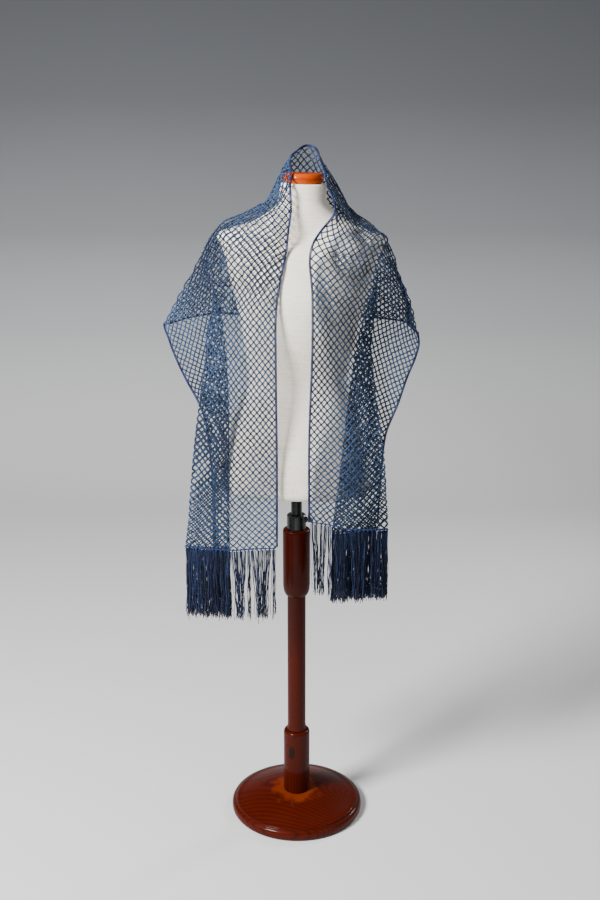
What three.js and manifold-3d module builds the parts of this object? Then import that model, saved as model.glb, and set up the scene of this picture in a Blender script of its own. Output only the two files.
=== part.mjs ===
// A net shawl with fringed ends, worn over a limbless dress form on a turned wooden stand.
// Millimetres, +Z up, the wearer's front towards -Y. The origin is the centre of the base's underside.
import * as THREE from "three";
import { mergeVertices } from "three/addons/utils/BufferGeometryUtils.js";
import Module from "manifold-3d";

const wasm = await Module();
wasm.setup();

// ---- driving dimensions of the stand -------------------------------------------------------------
const GAP = 0.3; // between pieces that touch
const ROUND = 32; // facets round a turned piece
const BASE_RADIUS = 157;
const BASE_RIM = 24; // height of the rounded rim
const BASE_HEIGHT = 48; // at the foot of the socket
const SOCKET_RADIUS = 31;
const SOCKET_TOP = 209;
const POLE_RADIUS = 21.3;
const POLE_TOP = 556;
const SLEEVE_RADIUS = 31.3;
const SLEEVE_TOP = 719;
const ROD_RADIUS = 12.5;
const ROD_BOTTOM = 566; // with the form at the height shown
const BORE_RADIUS = ROD_RADIUS + 0.4;
const BORE_DEPTH = 66; // in the pole, for the rod's lowest setting
const COLLAR_RADIUS = 22;
const COLLAR_TOP = 753;
const SCREW_HEIGHT = 740;
const SCREW_RADIUS = 3;
const LEVER_REACH = 38; // of the clamp screw's lever, from the rod's axis
const LEVER_THICKNESS = 7;

// ---- driving dimensions of the form --------------------------------------------------------------
const FORM_BOTTOM = 816;
const FORM_LEAN = THREE.MathUtils.degToRad(1.5); // towards the wearer's left, about the rod's top
const FORM_SHIFT = -3; // the form's middle from the rod's axis
const FORM_ROUNDNESS = 2.3; // power of the sections: 2 is an ellipse
const FORM_FACETS = 36;
const CAP_RADIUS = 43.5;
const CAP_HEIGHT = 20;
// a row for each level: height, half the width, depth to the front, depth to the back
const FORM_SECTIONS = [
  [FORM_BOTTOM, 160, 98, 104],
  [824, 168, 104, 111],
  [850, 171, 106, 113],
  [900, 163, 104, 112],
  [940, 152, 99, 107],
  [980, 141, 92, 100],
  [1015, 126, 86, 92],
  [1068, 110, 80, 84],
  [1110, 114, 86, 86],
  [1150, 121, 96, 90],
  [1200, 129, 105, 96],
  [1245, 140, 108, 102],
  [1290, 152, 102, 106],
  [1330, 161, 90, 106],
  [1360, 173, 72, 98],
  [1378, 181, 58, 86],
  [1386, 172, 53, 79],
  [1393, 152, 51, 75],
  [1399, 130, 50, 73],
  [1406, 112, 50, 71],
  [1418, 91, 50, 67],
  [1435, 67, 50, 60],
  [1452, 53, 48, 54],
  [1470, 50, 47, 50],
  [1490, 49, 47, 49],
];
const FORM_TOP = FORM_SECTIONS.at(-1)[0];

// ---- driving dimensions of the shawl -------------------------------------------------------------
const WALL = 1.6; // thickness of the net with its wrinkles
const WALL_CLEARANCE = WALL / 2 + 1.2; // middle of the wall to the form
const EDGING_RADIUS = 2.4;
const EDGING_GAP = 0.5; // edging to wall, where the edge is straight
const EDGE_CLEARANCE = EDGING_RADIUS + 0.8; // middle of the wall to the form, at the edged edges
const SEAM = 0.25; // each piece stops this far from a fold that parts two pieces
const HEADING_GAP = 1.2; // heading to the end of the net, which rises and falls a little
const HEADING_HEIGHT = 8;
const HEADING_THICKNESS = 3.2;
const LOCKS = 44; // fringe locks at each end
const LOCK_LENGTH = 168;
const LOCK_SHARE = 0.45; // of the heading's length, the rest is the space between locks
const LOCK_TIP_SCALE = 0.7; // width of a lock's tip to that of its root

// Seven lines run along the cloth, from the edge at the neck to the outer edge:
// neck edge, collar fold, middle, outer fold, valley, side, outer edge.
// A row for each section of a front: its share of the drop from the shoulder ridge to the fringed end,
// then x and y on each line. The heights follow from those of the ridge and of the end.
const LEFT_RIDGE_HEIGHTS = [1532, 1479, 1445, 1388, 1302, 1243, 1188];
const LEFT_END_HEIGHTS = [716, 712, 706, 706, 698, 692, 688];
const LEFT_FRONT = [
  [0.0, [-16, -24], [-39, 0], [-85, 5], [-177, 0], [-222, 4], [-255, 7], [-285, 10]],
  [0.06, [-12, -52], [-46, -44], [-101, -40], [-178, -34], [-200, -24], [-241, -12], [-274, -12]],
  [0.13, [-14, -66], [-50, -66], [-110, -68], [-176, -52], [-168, -46], [-220, -32], [-261, -26]],
  [0.22, [-24, -86], [-59, -94], [-115, -82], [-178, -62], [-153, -56], [-200, -44], [-238, -38]],
  [0.35, [-43, -112], [-76, -110], [-121, -100], [-192, -72], [-148, -60], [-181, -44], [-204, -50]],
  [0.5, [-45, -118], [-87, -113], [-128, -103], [-208, -76], [-146, -62], [-176, -36], [-192, -30]],
  [0.75, [-44, -116], [-91, -111], [-137, -101], [-231, -74], [-149, -66], [-180, -26], [-190, 8]],
  [1.0, [-45, -112], [-100, -107], [-148, -98], [-247, -72], [-150, -66], [-182, -28], [-192, 20]],
];
const RIGHT_RIDGE_HEIGHTS = [1531, 1477, 1439, 1379, 1296, 1232, 1175];
const RIGHT_END_HEIGHTS = [777, 769, 758, 747, 748, 747, 746];
const RIGHT_FRONT = [
  [0.0, [51, 5], [86, 8], [114, 9], [189, 0], [227, 0], [254, 2], [266, 0]],
  [0.06, [67, -30], [93, -38], [118, -44], [182, -30], [192, -28], [232, -14], [265, -12]],
  [0.13, [79, -54], [84, -66], [115, -70], [173, -46], [150, -54], [206, -32], [256, -22]],
  [0.22, [33, -96], [70, -94], [108, -88], [166, -56], [132, -66], [184, -46], [239, -34]],
  [0.35, [36, -112], [66, -110], [101, -102], [163, -66], [120, -74], [164, -56], [218, -54]],
  [0.5, [36, -118], [68, -113], [102, -108], [172, -76], [110, -82], [152, -66], [193, -62]],
  [0.75, [30, -116], [70, -113], [111, -110], [194, -78], [95, -96], [145, -76], [185, -50]],
  [1.0, [30, -112], [76, -110], [119, -108], [203, -74], [78, -99], [140, -78], [180, -44]],
];
// A row for each section of the back, between the two ridges: x, y and z on each line.
const BACK = [
  [
    [-6, 36, 1548], [-30, 42, 1500], [-58, 50, 1447], [-128, 74, 1370],
    [-172, 88, 1282], [-195, 94, 1238], [-218, 102, 1193],
  ],
  [
    [24, 66, 1563], [18, 60, 1517], [16, 66, 1462], [12, 106, 1372],
    [10, 117, 1288], [9, 120, 1240], [8, 122, 1192],
  ],
  [
    [44, 50, 1555], [66, 40, 1500], [88, 50, 1447], [148, 74, 1366],
    [190, 86, 1276], [206, 92, 1228], [222, 98, 1184],
  ],
];
// Steps of the walls' grid, counted in lines across the cloth and in table rows along it.
const ACROSS = [0, 0.5, 1, 1.5, 2, 2.4, 2.75, 2.92, 3, 3.1, 3.35, 3.65, 3.88, 4, 4.12, 4.4, 4.7, 5, 5.33, 5.67, 6];
const FRONT_STEPS_PER_ROW = [3, 2, 2, 3, 3, 3, 4];
const BACK_STEPS_PER_ROW = 5;

// ---- finishes ------------------------------------------------------------------------------------
const finish = (color, roughness, metalness = 0) => new THREE.MeshStandardMaterial({ color, roughness, metalness });
const stainedPine = finish(0x5a2412, 0.32);
const orangePine = finish(0xb5641f, 0.3);
const blackMetal = finish(0x17181a, 0.4, 0.6);
const linen = finish(0xd9cdb6, 0.9);
const netYarn = finish(0x3d5a80, 0.85);
const edgingYarn = finish(0x5a6fa6, 0.85);
const fringeYarn = finish(0x1e2c4a, 0.9);

const part = new THREE.Group();

function addPiece(name, geometry, material) {
  const mesh = new THREE.Mesh(geometry, material);
  mesh.name = name;
  part.add(mesh);
}

// ---- general shapes ------------------------------------------------------------------------------
function turned(profile, facets = ROUND) {
  const points = profile.map(([radius, height]) => new THREE.Vector2(radius, height));
  return new THREE.LatheGeometry(points, facets).rotateX(Math.PI / 2);
}

function fromTriangles(points, triangles) {
  const geometry = new THREE.BufferGeometry();
  const coordinates = points.flatMap((point) => [point.x, point.y, point.z]);
  geometry.setAttribute("position", new THREE.Float32BufferAttribute(coordinates, 3));
  geometry.setIndex(triangles);
  return signedVolume(points, triangles) < 0 ? turnedOut(geometry) : geometry;
}

function signedVolume(points, triangles) {
  let volume = 0;
  for (let i = 0; i < triangles.length; i += 3) {
    const [a, b, c] = [0, 1, 2].map((corner) => points[triangles[i + corner]]);
    volume += a.dot(b.clone().cross(c)) / 6;
  }
  return volume;
}

function turnedOut(geometry) {
  const triangles = geometry.index.array;
  for (let i = 0; i < triangles.length; i += 3) {
    [triangles[i], triangles[i + 1]] = [triangles[i + 1], triangles[i]];
  }
  return geometry;
}

// A closed tube through rings that each have the same number of points, with flat ends.
function throughRings(rings) {
  const count = rings[0].length;
  const triangles = [];
  for (let ring = 0; ring + 1 < rings.length; ring += 1) {
    for (let i = 0; i < count; i += 1) {
      const next = (i + 1) % count;
      const [a, b] = [ring * count + i, ring * count + next];
      triangles.push(a, b, b + count, a, b + count, a + count);
    }
  }
  const last = (rings.length - 1) * count;
  for (let i = 1; i + 1 < count; i += 1) {
    triangles.push(0, i + 1, i, last, last + i, last + i + 1);
  }
  return fromTriangles(rings.flat(), triangles);
}

function toManifold(geometry) {
  const bare = geometry.clone();
  bare.deleteAttribute("normal");
  bare.deleteAttribute("uv");
  const merged = mergeVertices(bare, 1e-4);
  const vertProperties = new Float32Array(merged.attributes.position.array);
  const triVerts = new Uint32Array(merged.index.array);
  return new wasm.Manifold(new wasm.Mesh({ numProp: 3, vertProperties, triVerts }));
}

function fromManifold(solid) {
  const mesh = solid.getMesh();
  const geometry = new THREE.BufferGeometry();
  geometry.setAttribute("position", new THREE.BufferAttribute(mesh.vertProperties, 3));
  geometry.setIndex(new THREE.BufferAttribute(mesh.triVerts, 1));
  return geometry;
}

// ---- the stand -----------------------------------------------------------------------------------
function base() {
  const rim = BASE_RIM / 2;
  const profile = [[0, 0], [BASE_RADIUS - rim, 0]];
  const rimSteps = 6;
  for (let i = 1; i <= rimSteps; i += 1) {
    const angle = -Math.PI / 2 + (Math.PI * i) / rimSteps;
    profile.push([BASE_RADIUS - rim + rim * Math.cos(angle), rim + rim * Math.sin(angle)]);
  }
  const [domeOutside, domeInside, domeSteps] = [BASE_RADIUS - rim - 6, SOCKET_RADIUS + 4, 4];
  for (let i = 0; i <= domeSteps; i += 1) {
    const share = i / domeSteps;
    const rise = Math.sin((share * Math.PI) / 2);
    const radius = domeOutside + (domeInside - domeOutside) * share;
    profile.push([radius, BASE_RIM + 1.5 + (BASE_HEIGHT - BASE_RIM - 1.5) * rise]);
  }
  profile.push([0, BASE_HEIGHT]);
  return turned(profile, 44);
}

function socket() {
  const bottom = BASE_HEIGHT + GAP;
  const edge = 7;
  return turned([
    [0, bottom], [SOCKET_RADIUS, bottom], [SOCKET_RADIUS, SOCKET_TOP - edge],
    [SOCKET_RADIUS - 2, SOCKET_TOP - 2.5], [SOCKET_RADIUS - edge, SOCKET_TOP], [0, SOCKET_TOP],
  ]);
}

function pole() {
  const bottom = SOCKET_TOP + GAP;
  return turned([
    [0, bottom], [POLE_RADIUS + 1.5, bottom], [POLE_RADIUS, bottom + 14], [POLE_RADIUS, POLE_TOP],
    [BORE_RADIUS, POLE_TOP], [BORE_RADIUS, POLE_TOP - BORE_DEPTH], [0, POLE_TOP - BORE_DEPTH],
  ]);
}

function sleeve() {
  const bottom = POLE_TOP + GAP;
  const shoulder = SLEEVE_RADIUS - 7;
  return turned([
    [BORE_RADIUS, bottom], [shoulder, bottom], [SLEEVE_RADIUS - 2, bottom + 9], [SLEEVE_RADIUS, bottom + 22],
    [SLEEVE_RADIUS, SLEEVE_TOP - 8], [SLEEVE_RADIUS - 2, SLEEVE_TOP - 3], [shoulder, SLEEVE_TOP],
    [BORE_RADIUS, SLEEVE_TOP], [BORE_RADIUS, bottom],
  ]);
}

function rod() {
  const top = FORM_BOTTOM - GAP - (ROD_RADIUS - FORM_SHIFT) * Math.tan(FORM_LEAN);
  return turned([[0, ROD_BOTTOM], [ROD_RADIUS, ROD_BOTTOM], [ROD_RADIUS, top], [0, top]]);
}

// A cylinder along X, from one place to the other, at the height of the clamp screw.
function alongX(radius, from, to, facets = 20) {
  const geometry = new THREE.CylinderGeometry(radius, radius, to - from, facets).rotateZ(-Math.PI / 2);
  return geometry.translate((from + to) / 2, 0, SCREW_HEIGHT);
}

function collar() {
  const bottom = SLEEVE_TOP + GAP;
  const ring = turned([
    [BORE_RADIUS, bottom], [COLLAR_RADIUS, bottom], [COLLAR_RADIUS, COLLAR_TOP - 2],
    [COLLAR_RADIUS - 2, COLLAR_TOP], [BORE_RADIUS, COLLAR_TOP], [BORE_RADIUS, bottom],
  ]);
  const boss = toManifold(alongX(SCREW_RADIUS + 3.5, BORE_RADIUS + 3, COLLAR_RADIUS + 3));
  const hole = toManifold(alongX(SCREW_RADIUS + GAP, 0, COLLAR_RADIUS + 10));
  return fromManifold(toManifold(ring).add(boss).subtract(hole));
}

function clampScrew() {
  const [tip, neck] = [ROD_RADIUS + 0.4, COLLAR_RADIUS + 3.6];
  const shank = toManifold(alongX(SCREW_RADIUS, tip, neck + 4));
  const side = new THREE.Shape();
  side.moveTo(neck, -5);
  side.lineTo(neck + 2, -6);
  side.quadraticCurveTo(LEVER_REACH - 2, -5, LEVER_REACH, -3);
  side.quadraticCurveTo(LEVER_REACH + 1, 0, LEVER_REACH - 2, 1.5);
  side.quadraticCurveTo(neck + 6, 6, neck + 2, 10);
  side.lineTo(neck, 9);
  side.closePath();
  const lever = new THREE.ExtrudeGeometry(side, { depth: LEVER_THICKNESS, bevelEnabled: false, curveSegments: 5 });
  lever.rotateX(Math.PI / 2).translate(0, LEVER_THICKNESS / 2, SCREW_HEIGHT);
  return fromManifold(shank.add(toManifold(lever)));
}

// ---- the form ------------------------------------------------------------------------------------
// The sections that the cloth has to clear, the cap's included.
const CLEARED_SECTIONS = [
  ...FORM_SECTIONS,
  [FORM_TOP + 0.1, CAP_RADIUS, CAP_RADIUS, CAP_RADIUS],
  [FORM_TOP + CAP_HEIGHT, CAP_RADIUS, CAP_RADIUS, CAP_RADIUS],
];

function clearedSection(height) {
  const z = THREE.MathUtils.clamp(height, FORM_BOTTOM, CLEARED_SECTIONS.at(-1)[0]);
  const upper = Math.max(1, CLEARED_SECTIONS.findIndex((row) => row[0] >= z));
  const [below, above] = [CLEARED_SECTIONS[upper - 1], CLEARED_SECTIONS[upper]];
  const share = (z - below[0]) / (above[0] - below[0]);
  return [1, 2, 3].map((i) => below[i] + (above[i] - below[i]) * share);
}

// The form and its cap are made upright, then leaned.
const formPlace = new THREE.Matrix4().makeTranslation(FORM_SHIFT, 0, FORM_BOTTOM)
  .multiply(new THREE.Matrix4().makeRotationY(FORM_LEAN))
  .multiply(new THREE.Matrix4().makeTranslation(0, 0, -FORM_BOTTOM));
const uprightAgain = formPlace.clone().invert();

function form() {
  const rings = FORM_SECTIONS.map(([z, halfWidth, front, back]) => {
    return Array.from({ length: FORM_FACETS }, (_, i) => {
      const angle = (2 * Math.PI * i) / FORM_FACETS;
      const [cos, sin] = [Math.cos(angle), Math.sin(angle)];
      const x = halfWidth * Math.sign(cos) * Math.abs(cos) ** (2 / FORM_ROUNDNESS);
      const y = (sin < 0 ? front : back) * Math.sign(sin) * Math.abs(sin) ** (2 / FORM_ROUNDNESS);
      return new THREE.Vector3(x, y, z);
    });
  });
  return throughRings(rings).applyMatrix4(formPlace);
}

function cap() {
  const bottom = FORM_TOP + GAP;
  const top = bottom + CAP_HEIGHT;
  const geometry = turned([
    [0, bottom], [CAP_RADIUS - 3, bottom], [CAP_RADIUS - 0.8, bottom + 3], [CAP_RADIUS, bottom + 8],
    [CAP_RADIUS - 1.2, top - 7], [CAP_RADIUS - 5, top - 3], [CAP_RADIUS - 12, top - 0.8], [0, top + 1],
  ]);
  return geometry.applyMatrix4(formPlace);
}

// How far a point lies outside the form, to first order, and the direction that leads away from it.
function fromForm(point) {
  const level = (x, y, z) => {
    const [halfWidth, front, back] = clearedSection(z);
    const across = Math.abs(x / halfWidth) ** FORM_ROUNDNESS;
    const deep = Math.abs(y / (y < 0 ? front : back)) ** FORM_ROUNDNESS;
    return (across + deep) ** (1 / FORM_ROUNDNESS) - 1;
  };
  const step = 0.5;
  const { x, y, z } = point.clone().applyMatrix4(uprightAgain);
  const slope = new THREE.Vector3(
    level(x + step, y, z) - level(x - step, y, z),
    level(x, y + step, z) - level(x, y - step, z),
    level(x, y, z + step) - level(x, y, z - step),
  ).divideScalar(2 * step);
  const distance = level(x, y, z) / slope.length();
  return { distance, away: slope.transformDirection(formPlace) };
}

// Moves both ends of a short stretch of cloth away from the form until all of the stretch is clear of it.
function clearOfForm(start, end, clearance) {
  for (const share of [0, 0.25, 0.5, 0.75]) {
    const point = start.clone().lerp(end, share);
    if (point.z > FORM_TOP + CAP_HEIGHT + 3) continue;
    const { distance, away } = fromForm(point);
    const move = Math.max(0, clearance - distance);
    start.addScaledVector(away, move);
    if (end !== start) end.addScaledVector(away, move * share);
  }
}

// ---- the cloth's middle surface ------------------------------------------------------------------
const curveThrough = (points) => new THREE.CatmullRomCurve3(points, false, "centripetal");

// The sections of a front, from its table: seven points each.
function frontSections(table, ridgeHeights, endHeights) {
  return table.map(([drop, ...lines]) => lines.map(([x, y], line) => {
    const z = ridgeHeights[line] + (endHeights[line] - ridgeHeights[line]) * drop;
    return new THREE.Vector3(x, y, z);
  }));
}

// A finer set of sections, smooth along each of the seven lines.
function refined(sections, stepsPerRow) {
  const lines = sections[0].map((_, line) => curveThrough(sections.map((section) => section[line])));
  const places = [0];
  stepsPerRow.forEach((steps, row) => {
    for (let step = 1; step <= steps; step += 1) places.push(row + step / steps);
  });
  return places.map((place) => lines.map((line) => line.getPoint(place / (sections.length - 1))));
}

function acrossSection(section) {
  const curve = curveThrough(section);
  return ACROSS.map((place) => curve.getPoint(place / (section.length - 1)));
}

// Every edge and diagonal of the grid is brought clear of the form, in a few rounds.
function settle(rows, rounds) {
  const last = rows[0].length - 1;
  for (let round = 0; round < rounds; round += 1) {
    rows.forEach((row, i) => row.forEach((point, j) => {
      const beyond = rows[i + 1] ?? row;
      const clearance = j === 0 || j === last ? EDGE_CLEARANCE : WALL_CLEARANCE;
      clearOfForm(point, beyond[j], clearance);
      clearOfForm(point, row[j + 1] ?? point, WALL_CLEARANCE);
      clearOfForm(point, beyond[j + 1] ?? point, WALL_CLEARANCE);
    }));
  }
}

const leftSections = frontSections(LEFT_FRONT, LEFT_RIDGE_HEIGHTS, LEFT_END_HEIGHTS);
const rightSections = frontSections(RIGHT_FRONT, RIGHT_RIDGE_HEIGHTS, RIGHT_END_HEIGHTS);
const backSections = [
  leftSections[0],
  ...BACK.map((row) => row.map(([x, y, z]) => new THREE.Vector3(x, y, z))),
  rightSections[0],
];
const leftRows = refined(leftSections, FRONT_STEPS_PER_ROW).reverse();
const backRows = refined(backSections, Array(backSections.length - 1).fill(BACK_STEPS_PER_ROW));
const rightRows = refined(rightSections, FRONT_STEPS_PER_ROW);

// One grid from the left end, over the shoulders and the back, to the right end.
const grid = [...leftRows, ...backRows.slice(1, -1), ...rightRows].map(acrossSection);
settle(grid, 8);
const leftRidge = leftRows.length - 1;
const rightRidge = grid.length - rightRows.length;

function difference(to, from) {
  return new THREE.Vector3().subVectors(to, from);
}

const normals = grid.map((row, i) => row.map((_, j) => {
  const [before, after] = [grid[Math.max(i - 1, 0)], grid[Math.min(i + 1, grid.length - 1)]];
  const along = difference(after[j], before[j]);
  const across = difference(row[Math.min(j + 1, row.length - 1)], row[Math.max(j - 1, 0)]);
  return across.cross(along).normalize();
}));

// ---- the cloth's pieces --------------------------------------------------------------------------
// A wall of even thickness on part of the grid, drawn back a little at the folds that part two pieces.
function wall(firstRow, lastRow) {
  const points = [];
  for (const side of [1, -1]) {
    for (let i = firstRow; i <= lastRow; i += 1) {
      const inwards = i === firstRow ? 1 : -1;
      const drawnBack = (i === firstRow && i > 0) || (i === lastRow && i < grid.length - 1);
      grid[i].forEach((point, j) => {
        const corner = point.clone().addScaledVector(normals[i][j], (side * WALL) / 2);
        const towards = difference(grid[i + (drawnBack ? inwards : 0)][j], point).normalize();
        points.push(corner.addScaledVector(towards, drawnBack ? SEAM : 0));
      });
    }
  }
  return fromTriangles(points, wallTriangles(lastRow - firstRow + 1, grid[0].length));
}

function wallTriangles(rows, columns) {
  const under = rows * columns;
  const triangles = [];
  const quad = (a, b, c, d) => triangles.push(a, b, c, a, c, d);
  for (let i = 0; i + 1 < rows; i += 1) {
    for (let j = 0; j + 1 < columns; j += 1) {
      const a = i * columns + j;
      quad(a, a + 1, a + columns + 1, a + columns);
      quad(under + a, under + a + columns, under + a + columns + 1, under + a + 1);
    }
    const [first, last] = [i * columns, i * columns + columns - 1];
    quad(first, first + columns, under + first + columns, under + first);
    quad(last + columns, last, under + last, under + last + columns);
  }
  for (let j = 0; j + 1 < columns; j += 1) {
    const [first, last] = [j, (rows - 1) * columns + j];
    quad(first + 1, first, under + first, under + first + 1);
    quad(last, last + 1, under + last + 1, under + last);
  }
  return triangles;
}

// A crocheted edging, square in section, just outside one long edge of the net.
function edging(column, neighbour) {
  const rings = grid.map((row, i) => {
    const [before, after] = [grid[Math.max(i - 1, 0)], grid[Math.min(i + 1, grid.length - 1)]];
    const normal = normals[i][column];
    const outwards = normal.clone().cross(difference(after[column], before[column])).normalize();
    if (outwards.dot(difference(row[column], row[neighbour])) < 0) outwards.negate();
    const at = (out, up) => row[column].clone().addScaledVector(outwards, out).addScaledVector(normal, up);
    return [
      at(EDGING_GAP, 0), at(EDGING_GAP + EDGING_RADIUS, EDGING_RADIUS),
      at(EDGING_GAP + 2 * EDGING_RADIUS, 0), at(EDGING_GAP + EDGING_RADIUS, -EDGING_RADIUS),
    ];
  });
  return throughRings(rings);
}

// The heading below one end of the net, with the fringe's locks grown from its lower face.
function fringe(row) {
  const ends = row.slice(1).map((point, j) => new THREE.LineCurve3(row[j], point));
  const path = new THREE.CurvePath();
  ends.forEach((line) => path.add(line));
  const down = new THREE.Vector3(0, 0, -1);
  const margin = (1 - LOCK_SHARE) / 2;
  const places = Array.from({ length: LOCKS }, (_, i) => [i + margin, i + 1 - margin]).flat();
  const sections = [0, ...places, LOCKS].map((place) => {
    const [before, after] = [-0.5, 0.5].map((step) => path.getPointAt(THREE.MathUtils.clamp((place + step) / LOCKS, 0, 1)));
    const sideways = difference(after, before).cross(down).setLength(HEADING_THICKNESS / 2);
    const top = path.getPointAt(place / LOCKS).addScaledVector(down, HEADING_GAP);
    const bottom = top.clone().addScaledVector(down, HEADING_HEIGHT);
    return [top.clone().add(sideways), top.sub(sideways), bottom.clone().sub(sideways), bottom.add(sideways)];
  });
  const points = sections.flat();
  const triangles = [];
  const quad = (a, b, c, d) => triangles.push(a, b, c, a, c, d);
  for (let i = 0; i + 1 < sections.length; i += 1) {
    const [a, b] = [4 * i, 4 * i + 4];
    quad(a, a + 1, b + 1, b);
    quad(a + 1, a + 2, b + 2, b + 1);
    quad(a + 3, a, b, b + 3);
    if (i % 2 === 0) quad(a + 2, a + 3, b + 3, b + 2);
    else growLock(points, triangles, [a + 2, a + 3, b + 3, b + 2], (i - 1) / 2);
  }
  const end = 4 * (sections.length - 1);
  quad(3, 2, 1, 0);
  quad(end, end + 1, end + 2, end + 3);
  return fromTriangles(points, triangles);
}

// One lock, hanging from four corners of the heading's lower face. Its length and sway differ a little.
function growLock(points, triangles, corners, index) {
  const length = LOCK_LENGTH - 6 - 10 * Math.abs(Math.sin(index * 1.7));
  const sway = 2.2 * Math.sin(index * 2.3);
  const root = corners.map((corner) => points[corner]);
  const middle = root.reduce((sum, point) => sum.add(point), new THREE.Vector3()).divideScalar(root.length);
  let above = corners;
  for (const share of [0.5, 1]) {
    const scale = 1 + (LOCK_TIP_SCALE - 1) * share;
    const shift = new THREE.Vector3(sway * Math.sin(share * Math.PI * 0.8), 0, -length * share);
    const ring = root.map((point) => (
      point.clone().sub(middle).multiplyScalar(scale).add(middle).add(shift)
    ));
    const first = points.length;
    points.push(...ring);
    const level = [first, first + 1, first + 2, first + 3];
    for (let i = 0; i < 4; i += 1) {
      const next = (i + 1) % 4;
      triangles.push(above[i], above[next], level[next], above[i], level[next], level[i]);
    }
    above = level;
  }
  triangles.push(above[0], above[1], above[2], above[0], above[2], above[3]);
}

// ---- the whole -----------------------------------------------------------------------------------
addPiece("base", base(), stainedPine);
addPiece("socket", socket(), stainedPine);
addPiece("pole", pole(), stainedPine);
addPiece("sleeve", sleeve(), stainedPine);
addPiece("clamp_collar", collar(), blackMetal);
addPiece("clamp_screw", clampScrew(), blackMetal);
addPiece("rod", rod(), blackMetal);
addPiece("form", form(), linen);
addPiece("neck_cap", cap(), orangePine);

const lastColumn = ACROSS.length - 1;
addPiece("shawl_front_left", wall(0, leftRidge), netYarn);
addPiece("shawl_back", wall(leftRidge, rightRidge), netYarn);
addPiece("shawl_front_right", wall(rightRidge, grid.length - 1), netYarn);
addPiece("edging_neck", edging(0, 1), edgingYarn);
addPiece("edging_outer", edging(lastColumn, lastColumn - 1), edgingYarn);
addPiece("fringe_left", fringe(grid[0]), fringeYarn);
addPiece("fringe_right", fringe(grid.at(-1)), fringeYarn);

export default part;
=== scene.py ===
# %% [markdown]
# # A net shawl on a dress form
#
# A rectangular stole of knotted blue cotton net hangs over a linen-covered dress form on a turned
# wooden stand. The solids of the model give every size and place. This lesson dresses them: the net
# becomes real yarn with its knots, the edges get their crochet, the ends their fringes, and the wood,
# metal and linen get their finishes. The shapes are worked out in millimetres and turned into metres
# when a mesh is made.

# %% Load the frame
import math

import bmesh
import bpy
import numpy as np
from mathutils import Matrix, Vector
from mathutils.kdtree import KDTree


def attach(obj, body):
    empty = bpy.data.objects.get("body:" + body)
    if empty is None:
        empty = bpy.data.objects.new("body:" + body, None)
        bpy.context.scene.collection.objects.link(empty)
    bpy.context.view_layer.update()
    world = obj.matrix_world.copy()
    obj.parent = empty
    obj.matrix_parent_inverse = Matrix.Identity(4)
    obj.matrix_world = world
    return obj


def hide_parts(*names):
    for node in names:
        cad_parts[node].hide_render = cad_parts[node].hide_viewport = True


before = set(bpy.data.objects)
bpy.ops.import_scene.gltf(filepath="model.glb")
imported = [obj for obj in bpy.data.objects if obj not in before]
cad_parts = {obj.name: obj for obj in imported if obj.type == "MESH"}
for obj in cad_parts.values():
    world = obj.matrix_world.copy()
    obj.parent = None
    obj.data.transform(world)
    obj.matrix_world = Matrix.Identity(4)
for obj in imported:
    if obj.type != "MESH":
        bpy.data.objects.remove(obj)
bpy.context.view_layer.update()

MM = 0.001
chance = np.random.default_rng(7)
print("solids of the frame:", ", ".join(sorted(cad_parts)))

# %% [markdown]
# ## The camera
#
# It stands about two and a half metres away, a little above the form's shoulders, and looks slightly
# down. The lens is a mild telephoto.

# %% Camera
def in_scene(name, data):
    obj = bpy.data.objects.new(name, data)
    bpy.context.scene.collection.objects.link(obj)
    return obj


camera_data = bpy.data.cameras.new("camera")
camera_data.lens = 47.8
camera_data.sensor_width = 36
camera = in_scene("camera", camera_data)
camera.location = (0.008, -2.573, 1.652)
camera.rotation_euler = (math.radians(73.81), 0, 0)
bpy.context.scene.camera = camera
print("camera at", tuple(round(c, 3) for c in camera.location))

# %% [markdown]
# ## Small tools
#
# Every piece is made the same way: points and faces in millimetres, a finish, the body that carries it,
# and the solids that it stands for.

# %% Pieces from points and faces
def placed(name, mesh, material, body, slot, stands_for):
    mesh.shade_smooth()
    mesh.materials.append(material)
    obj = in_scene(name, mesh)
    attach(obj, body)
    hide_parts(*stands_for)
    print(f"{name}: {sum(len(face.vertices) - 2 for face in mesh.polygons)} triangles")
    return obj


def mesh_of(name, points, faces):
    mesh = bpy.data.meshes.new(name)
    mesh.from_pydata(points, [], faces)
    mesh.update()
    return mesh


def make_piece(name, points, faces, *finish_and_place):
    return placed(name, mesh_of(name, (np.asarray(points) * MM).tolist(), faces), *finish_and_place)


def unit(vectors):
    return vectors / np.maximum(np.linalg.norm(vectors, axis=-1, keepdims=True), 1e-9)


# %% [markdown]
# Yarn is a tube round a path. Thousands of paths with the same number of points become tubes in one go:
# a pair of directions is carried along each path without twisting, rings of points stand round it, and
# a skin goes over the rings and closes both ends.

# %% Skins over rings, tubes round paths
def skinned(rings):
    count, steps, sides, _ = rings.shape
    index = np.arange(count * steps * sides).reshape(count, steps, sides)
    turned = np.roll(index, -1, axis=2)
    quads = np.stack([index[:, :-1], turned[:, :-1], turned[:, 1:], index[:, 1:]], axis=-1).reshape(-1, 4)
    caps = np.concatenate([index[:, 0, ::-1], index[:, -1]])
    return rings.reshape(-1, 3), quads.tolist() + caps.tolist()


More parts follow.
